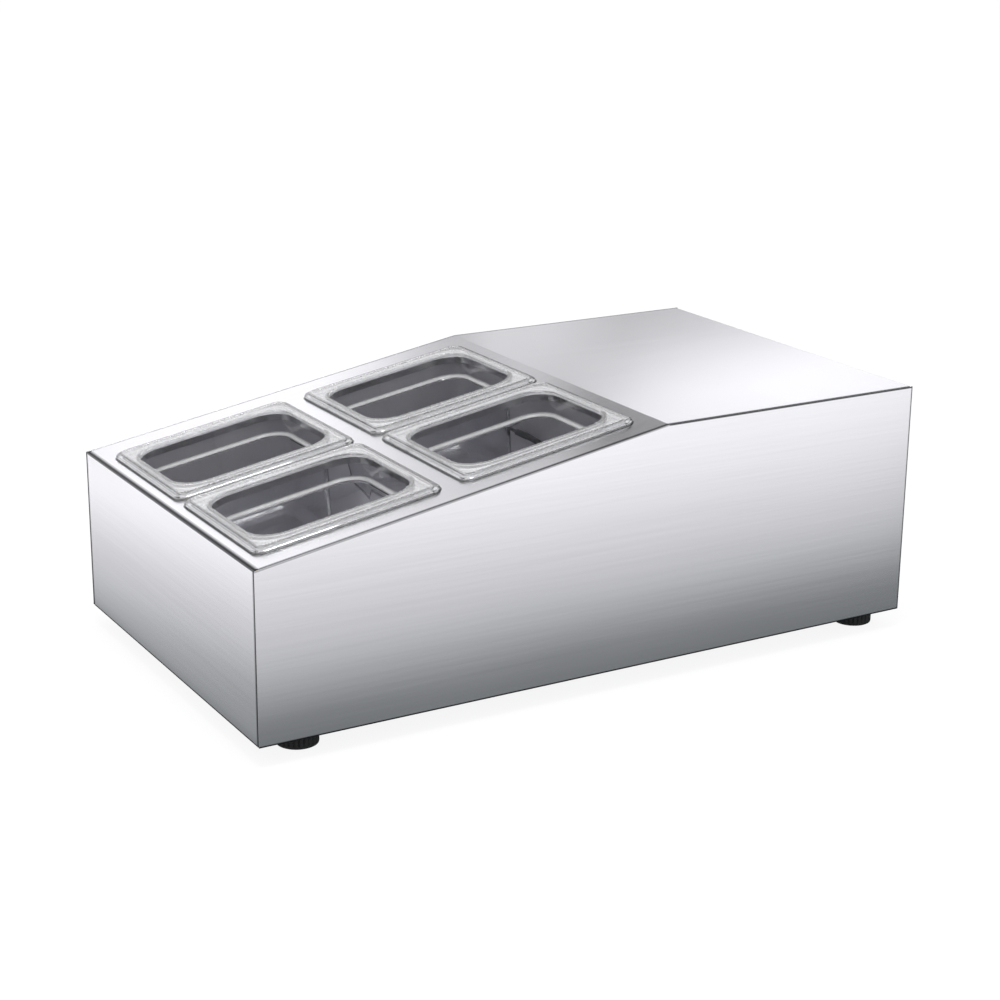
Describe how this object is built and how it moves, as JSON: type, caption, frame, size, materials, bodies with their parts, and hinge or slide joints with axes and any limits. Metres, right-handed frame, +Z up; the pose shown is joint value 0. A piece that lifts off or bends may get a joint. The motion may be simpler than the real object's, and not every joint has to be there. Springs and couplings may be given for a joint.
{
  "type": "refrigerated topping unit",
  "caption": "Countertop chilled topping well: stainless wedge casing, sloping deck with lift-out clear pans, fan-cooled machine bay behind, on turning feet.",
  "frame": {"origin": "middle of the footprint on the counter, under the feet", "axes": "+X from the low serving end to the high machine end, +Y to the unit's left side as its user faces +X, +Z up"},
  "size_m": [0.672, 0.385, 0.2396],
  "materials": {
    "stainless": "fine brushed stainless sheet",
    "zinc_sheet": "zinc-coated sheet, satin",
    "plated_screw": "zinc plated steel",
    "well_stainless": "satin stainless sheet",
    "foam": "rigid foam",
    "copper": "drawn copper tube",
    "probe_black": "moulded lead",
    "clear_pan": "clear moulded plastic, polished",
    "black_enamel": "black enamel",
    "grommet_rubber": "moulded rubber",
    "black_plastic": "black moulded plastic",
    "fin_aluminium": "mill finish sheet",
    "motor_grey": "grey enamel",
    "display_red": "dark red window",
    "button_grey": "grey moulded plastic",
    "rocker_red": "red moulded plastic",
    "foot_black": "black moulded rubber with a fine grain"
  },
  "bodies": {
    "casing": {"front_panel": "stainless", "right_side_panel": "stainless", "left_side_panel": "stainless", "top_panel": "stainless", "rear_panel": "stainless", "base_pan": "zinc_sheet", "bulkhead": "zinc_sheet", "rear_screws": "plated_screw", "well_liner": "well_stainless", "insulation": "foam", "evaporator_coil": "copper", "temperature_probe": "probe_black", "pan_low_right": "clear_pan", "pan_low_left": "clear_pan", "pan_high_right": "clear_pan", "pan_high_left": "clear_pan", "compressor": "black_enamel", "compressor_grommets": "grommet_rubber", "compressor_bolts": "plated_screw", "relay_cover": "black_plastic", "condenser_fins": "fin_aluminium", "condenser_tubes": "copper", "condenser_frame": "zinc_sheet", "fan_shroud": "black_plastic", "fan_bracket": "zinc_sheet", "fan_motor": "motor_grey", "filter_drier": "copper", "drier_clip": "zinc_sheet", "capillary_tube": "copper", "suction_pipe": "copper", "discharge_pipe": "copper", "liquid_pipe": "copper", "controller_case": "black_plastic", "display_window": "display_red", "switch_housing": "black_plastic", "power_inlet": "black_plastic", "inlet_pins": "plated_screw", "foot_nuts": "plated_screw"},
    "fan": {"fan_blades": "fin_aluminium"},
    "rocker": {"switch_rocker": "rocker_red"},
    "set_button": {"set_button": "button_grey"},
    "up_button": {"up_button": "button_grey"},
    "down_button": {"down_button": "button_grey"},
    "power_button": {"power_button": "button_grey"},
    "low_right_stud": {"low_right_stud": "plated_screw"},
    "low_right_foot": {"low_right_foot": "foot_black"},
    "low_left_stud": {"low_left_stud": "plated_screw"},
    "low_left_foot": {"low_left_foot": "foot_black"},
    "high_right_stud": {"high_right_stud": "plated_screw"},
    "high_right_foot": {"high_right_foot": "foot_black"},
    "high_left_stud": {"high_left_stud": "plated_screw"},
    "high_left_foot": {"high_left_foot": "foot_black"}
  },
  "joints": [
    {"name": "fan_spin", "type": "hinge", "parent": "casing", "child": "fan", "pos_m": [0.243, -0.095, 0.129], "axis": [1, 0, 0], "continuous": true},
    {"name": "rocker_tip", "type": "hinge", "parent": "casing", "child": "rocker", "pos_m": [0.3308, 0.062, 0.196], "axis": [0, 1, 0], "range_deg": [-14, 0]},
    {"name": "set_button_press", "type": "slide", "parent": "casing", "child": "set_button", "axis": [-1, 0, 0], "range_m": [0, 0.0004], "stiffness_N_per_m": 400},
    {"name": "up_button_press", "type": "slide", "parent": "casing", "child": "up_button", "axis": [-1, 0, 0], "range_m": [0, 0.0004], "stiffness_N_per_m": 400},
    {"name": "down_button_press", "type": "slide", "parent": "casing", "child": "down_button", "axis": [-1, 0, 0], "range_m": [0, 0.0004], "stiffness_N_per_m": 400},
    {"name": "power_button_press", "type": "slide", "parent": "casing", "child": "power_button", "axis": [-1, 0, 0], "range_m": [0, 0.0004], "stiffness_N_per_m": 400},
    {"name": "low_right_stud_rise", "type": "slide", "parent": "casing", "child": "low_right_stud", "axis": [0, 0, -1], "range_m": [0, 0.0088]},
    {"name": "low_right_foot_turn", "type": "hinge", "parent": "low_right_stud", "child": "low_right_foot", "pos_m": [-0.286, -0.1575, 0.009], "axis": [0, 0, -1], "range_deg": [0, 2520]},
    {"name": "low_left_stud_rise", "type": "slide", "parent": "casing", "child": "low_left_stud", "axis": [0, 0, -1], "range_m": [0, 0.0088]},
    {"name": "low_left_foot_turn", "type": "hinge", "parent": "low_left_stud", "child": "low_left_foot", "pos_m": [-0.286, 0.1575, 0.009], "axis": [0, 0, -1], "range_deg": [0, 2520]},
    {"name": "high_right_stud_rise", "type": "slide", "parent": "casing", "child": "high_right_stud", "axis": [0, 0, -1], "range_m": [0, 0.0088]},
    {"name": "high_right_foot_turn", "type": "hinge", "parent": "high_right_stud", "child": "high_right_foot", "pos_m": [0.306, -0.1575, 0.009], "axis": [0, 0, -1], "range_deg": [0, 2520]},
    {"name": "high_left_stud_rise", "type": "slide", "parent": "casing", "child": "high_left_stud", "axis": [0, 0, -1], "range_m": [0, 0.0088]},
    {"name": "high_left_foot_turn", "type": "hinge", "parent": "high_left_stud", "child": "high_left_foot", "pos_m": [0.306, 0.1575, 0.009], "axis": [0, 0, -1], "range_deg": [0, 2520]}
  ],
  "couplings": [
    {"joint": "low_right_stud_rise", "follows": "low_right_foot_turn", "m_per_rad": 0.00019894},
    {"joint": "low_left_stud_rise", "follows": "low_left_foot_turn", "m_per_rad": 0.00019894},
    {"joint": "high_right_stud_rise", "follows": "high_right_foot_turn", "m_per_rad": 0.00019894},
    {"joint": "high_left_stud_rise", "follows": "high_left_foot_turn", "m_per_rad": 0.00019894}
  ]
}
